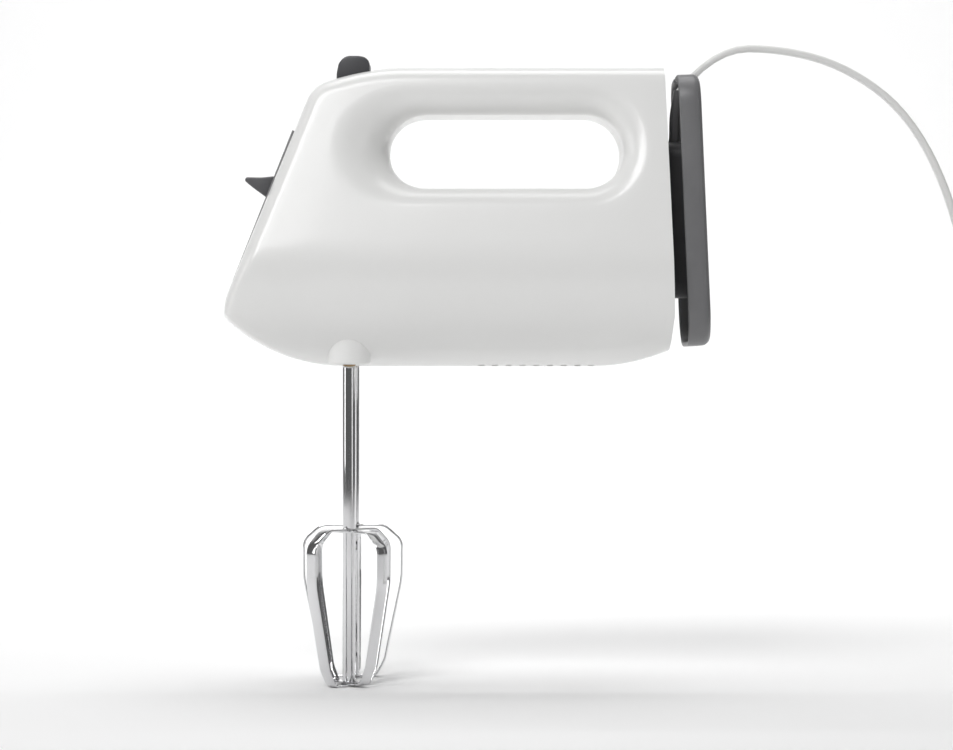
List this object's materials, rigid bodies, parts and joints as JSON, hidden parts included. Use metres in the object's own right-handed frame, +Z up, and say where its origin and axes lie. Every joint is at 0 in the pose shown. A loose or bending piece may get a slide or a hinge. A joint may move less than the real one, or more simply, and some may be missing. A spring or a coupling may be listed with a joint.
{
  "type": "hand mixer",
  "caption": "Electric hand mixer with a slotted handle, speed lever, eject key, intermeshing wire beaters and a cord store at the rear.",
  "frame": {"origin": "middle of the handle grip, on the mid-plane, halfway between the grip's top and the finger slot", "axes": "+X to the rear (cord end), +Y to the mixer's right, +Z up, away from the beaters"},
  "size_m": [0.5253, 0.0803, 0.2807],
  "materials": {
    "white_shell": "satin moulded",
    "grey_trim": "fine texture",
    "dark_trim": "satin",
    "inner_plastic": "plain moulded",
    "switch_black": "plain moulded",
    "board_green": "lacquered",
    "capacitor_blue": "cast",
    "polished_steel": "polished stainless steel",
    "steel": "ground",
    "screw_zinc": "zinc plated",
    "spring_wire": "drawn wire",
    "lamination": "stacked sheet",
    "copper_wire": "enamelled",
    "bronze": "sintered",
    "carbon": "pressed carbon",
    "gear_nylon": "moulded",
    "cast_frame": "die cast",
    "lead_jacket": "insulated wire",
    "white_cord": "smooth sheath",
    "tie_plastic": "moulded",
    "pin_nickel": "nickel plated"
  },
  "bodies": {
    "root": {"housing_left": "white_shell", "housing_right": "white_shell", "housing_screws": "screw_zinc", "control_panel": "grey_trim", "speed_switch": "switch_black", "control_board": "board_green", "triac": "switch_black", "suppression_capacitor": "capacitor_blue", "gearbox_frame": "cast_frame", "frame_screws": "screw_zinc", "spindle_bush_left": "bronze", "spindle_bush_right": "bronze", "stator_core": "lamination", "field_winding_upper": "copper_wire", "field_winding_lower": "copper_wire", "front_bearing": "steel", "rear_bearing": "steel", "motor_bracket": "cast_frame", "motor_screws": "screw_zinc", "brush_left": "carbon", "brush_right": "carbon", "brush_guide_left": "bronze", "brush_guide_right": "bronze", "brush_spring_left": "spring_wire", "brush_spring_right": "spring_wire", "cord_hub": "dark_trim", "cord_flange": "grey_trim", "hub_screws": "screw_zinc", "strain_relief": "grey_trim", "inner_leads": "lead_jacket", "cord": "white_cord", "cord_tail": "white_cord", "cord_coil": "white_cord", "cord_tie": "tie_plastic", "plug_body": "white_cord", "plug_pins": "pin_nickel", "eject_spring": "spring_wire"},
    "rotor": {"worm_shaft": "steel", "rotor_core": "lamination", "rotor_windings": "copper_wire", "commutator": "copper_wire", "cooling_fan": "inner_plastic"},
    "spindle_left": {"spindle_left": "steel", "worm_wheel_left": "gear_nylon"},
    "spindle_right": {"spindle_right": "steel", "worm_wheel_right": "gear_nylon"},
    "beater_left": {"beater_rod_left": "polished_steel", "beater_loop_left_a": "polished_steel", "beater_loop_left_b": "polished_steel"},
    "beater_right": {"beater_rod_right": "polished_steel", "beater_loop_right_a": "polished_steel", "beater_loop_right_b": "polished_steel"},
    "eject": {"eject_button": "dark_trim", "eject_bar": "inner_plastic"},
    "lever": {"speed_lever": "grey_trim", "switch_slider": "inner_plastic"}
  },
  "joints": [
    {"name": "rotor_spin", "type": "hinge", "parent": "root", "child": "rotor", "pos_m": [0, 0, -0.084], "axis": [1, 0, 0], "continuous": true},
    {"name": "spindle_left_spin", "type": "hinge", "parent": "root", "child": "spindle_left", "pos_m": [-0.068, -0.019, -0.084], "axis": [0, 0, 1], "continuous": true},
    {"name": "spindle_right_spin", "type": "hinge", "parent": "root", "child": "spindle_right", "pos_m": [-0.068, 0.019, -0.084], "axis": [0, 0, 1], "continuous": true},
    {"name": "beater_left_release", "type": "slide", "parent": "spindle_left", "child": "beater_left", "axis": [0, 0, -1], "range_m": [0, 0.055]},
    {"name": "beater_right_release", "type": "slide", "parent": "spindle_right", "child": "beater_right", "axis": [0, 0, -1], "range_m": [0, 0.055]},
    {"name": "eject_press", "type": "slide", "parent": "root", "child": "eject", "axis": [0, 0, -1], "range_m": [0, 0.005], "stiffness_N_per_m": 600, "springref_m": -0.003, "deforming": ["eject_spring"]},
    {"name": "speed_slide", "type": "slide", "parent": "root", "child": "lever", "axis": [-0.3692, 0, -0.9294], "range_m": [-0.005, 0.025]}
  ],
  "couplings": [
    {"joint": "spindle_left_spin", "follows": "rotor_spin", "ratio": 0.035714},
    {"joint": "spindle_right_spin", "follows": "rotor_spin", "ratio": -0.035714}
  ]
}
